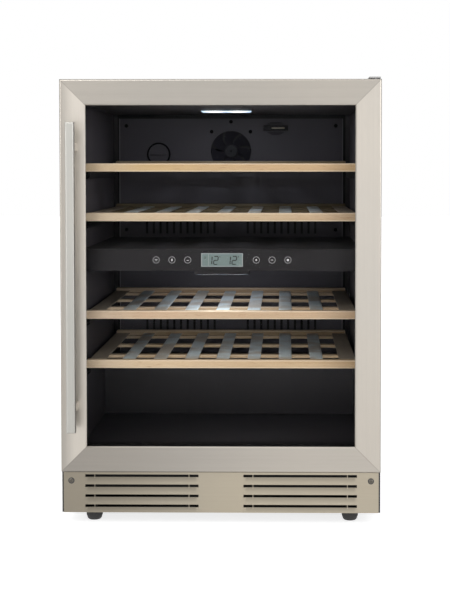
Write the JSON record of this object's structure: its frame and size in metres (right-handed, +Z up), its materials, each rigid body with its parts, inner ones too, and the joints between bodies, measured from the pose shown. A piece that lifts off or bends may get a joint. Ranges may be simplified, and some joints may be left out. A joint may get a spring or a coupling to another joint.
{
  "type": "wine cooler",
  "caption": "Built-under wine cooler with a hinged glass door, bar handle, sliding wooden shelves, a control fascia between two zones, a louvred plinth and levelling feet.",
  "frame": {"origin": "on the floor, in the middle of the whole object's footprint, handle included", "axes": "+X to the right seen from the front, +Y to the back, +Z up"},
  "size_m": [0.595, 0.613, 0.837],
  "materials": {
    "black_steel": "satin",
    "galvanised": "satin",
    "stainless": "satin",
    "plinth_steel": "satin",
    "handle_steel": "satin",
    "hinge_steel": "satin",
    "glass": "polished",
    "spacer_bar": "satin",
    "black_rubber": "matte",
    "foam": "matte",
    "black_plastic": "satin",
    "fascia_plastic": "satin",
    "display": "gloss",
    "circuit_board": "satin",
    "key_white": "satin",
    "lamp_lens": "satin",
    "aluminium": "satin",
    "copper": "satin",
    "compressor_black": "satin",
    "beech": "satin",
    "shelf_metal": "satin"
  },
  "bodies": {
    "cabinet": {"side_panel_left": "black_steel", "side_panel_right": "black_steel", "top_panel": "black_steel", "back_panel": "galvanised", "wall_spacers": "black_plastic", "base_pan": "galvanised", "front_crossbar": "galvanised", "foam_insulation": "foam", "inner_liner": "black_plastic", "drain_tube": "black_plastic", "kick_plate": "plinth_steel", "cabinet_screws": "hinge_steel", "upper_air_panel": "black_plastic", "lower_air_panel": "black_plastic", "temperature_probes": "black_plastic", "circulation_fan_housings": "black_plastic", "evaporator_plates": "aluminium", "zone_divider": "foam", "control_fascia": "fascia_plastic", "display_module": "display", "control_board": "circuit_board", "touch_keys": "key_white", "lamps": "lamp_lens", "slide_rails": "black_steel", "compressor": "compressor_black", "compressor_mounts": "black_rubber", "drain_tray": "black_plastic", "condenser_coil": "aluminium", "condenser_fan_housing": "black_plastic", "mains_box": "black_plastic", "rear_grille": "galvanised", "cable_gland": "black_plastic", "refrigerant_lines": "copper", "hinge_brackets": "hinge_steel"},
    "door": {"door_stile_left": "stainless", "door_stile_right": "stainless", "door_rail_top": "stainless", "door_rail_bottom": "stainless", "glass_panes": "glass", "glass_spacer": "spacer_bar", "door_gasket": "black_rubber", "handle_bar": "handle_steel", "handle_posts": "handle_steel", "hinge_bushes": "black_plastic"},
    "shelf_1": {"shelf_1_wood": "beech", "shelf_1_metalwork": "shelf_metal"},
    "shelf_2": {"shelf_2_wood": "beech", "shelf_2_metalwork": "shelf_metal"},
    "shelf_3": {"shelf_3_wood": "beech", "shelf_3_metalwork": "shelf_metal"},
    "shelf_4": {"shelf_4_wood": "beech", "shelf_4_metalwork": "shelf_metal"},
    "upper_fan": {"upper_fan_impeller": "black_plastic"},
    "lower_fan": {"lower_fan_impeller": "black_plastic"},
    "condenser_fan": {"condenser_fan_impeller": "black_plastic"},
    "foot_front_left": {"foot_front_left": "black_rubber"},
    "foot_front_right": {"foot_front_right": "black_rubber"},
    "foot_back_left": {"foot_back_left": "black_rubber"},
    "foot_back_right": {"foot_back_right": "black_rubber"},
    "filter_cap": {"filter_cap": "black_plastic"}
  },
  "joints": [
    {"name": "door_hinge", "type": "hinge", "parent": "cabinet", "child": "door", "pos_m": [0.2875, -0.2465, 0.467], "axis": [0, 0, 1], "range_deg": [0, 110]},
    {"name": "shelf_1_slide", "type": "slide", "parent": "cabinet", "child": "shelf_1", "axis": [0, -1, 0], "range_m": [0, 0.2]},
    {"name": "shelf_2_slide", "type": "slide", "parent": "cabinet", "child": "shelf_2", "axis": [0, -1, 0], "range_m": [0, 0.2]},
    {"name": "shelf_3_slide", "type": "slide", "parent": "cabinet", "child": "shelf_3", "axis": [0, -1, 0], "range_m": [0, 0.2]},
    {"name": "shelf_4_slide", "type": "slide", "parent": "cabinet", "child": "shelf_4", "axis": [0, -1, 0], "range_m": [0, 0.2]},
    {"name": "upper_fan_spin", "type": "hinge", "parent": "cabinet", "child": "upper_fan", "pos_m": [0, 0.236, 0.705], "axis": [0, 1, 0], "continuous": true},
    {"name": "lower_fan_spin", "type": "hinge", "parent": "cabinet", "child": "lower_fan", "pos_m": [0, 0.236, 0.41], "axis": [0, 1, 0], "continuous": true},
    {"name": "condenser_fan_spin", "type": "hinge", "parent": "cabinet", "child": "condenser_fan", "pos_m": [-0.1525, 0.2115, 0.078], "axis": [1, 0, 0], "continuous": true},
    {"name": "foot_front_left_turn", "type": "hinge", "parent": "cabinet", "child": "foot_front_left", "pos_m": [-0.243, -0.2115, 0.012], "axis": [0, 0, 1], "continuous": true},
    {"name": "foot_front_right_turn", "type": "hinge", "parent": "cabinet", "child": "foot_front_right", "pos_m": [0.243, -0.2115, 0.012], "axis": [0, 0, 1], "continuous": true},
    {"name": "foot_back_left_turn", "type": "hinge", "parent": "cabinet", "child": "foot_back_left", "pos_m": [-0.243, 0.2635, 0.012], "axis": [0, 0, 1], "continuous": true},
    {"name": "foot_back_right_turn", "type": "hinge", "parent": "cabinet", "child": "foot_back_right", "pos_m": [0.243, 0.2635, 0.012], "axis": [0, 0, 1], "continuous": true},
    {"name": "filter_turn", "type": "hinge", "parent": "cabinet", "child": "filter_cap", "pos_m": [-0.16, 0.2275, 0.698], "axis": [0, 1, 0], "range_deg": [0, 45]}
  ],
  "couplings": [
    {"joint": "shelf_1_slide", "follows": "door_hinge", "m_per_rad": 0.034},
    {"joint": "shelf_2_slide", "follows": "door_hinge", "m_per_rad": 0.034},
    {"joint": "shelf_3_slide", "follows": "door_hinge", "m_per_rad": 0.034},
    {"joint": "shelf_4_slide", "follows": "door_hinge", "m_per_rad": 0.034}
  ]
}
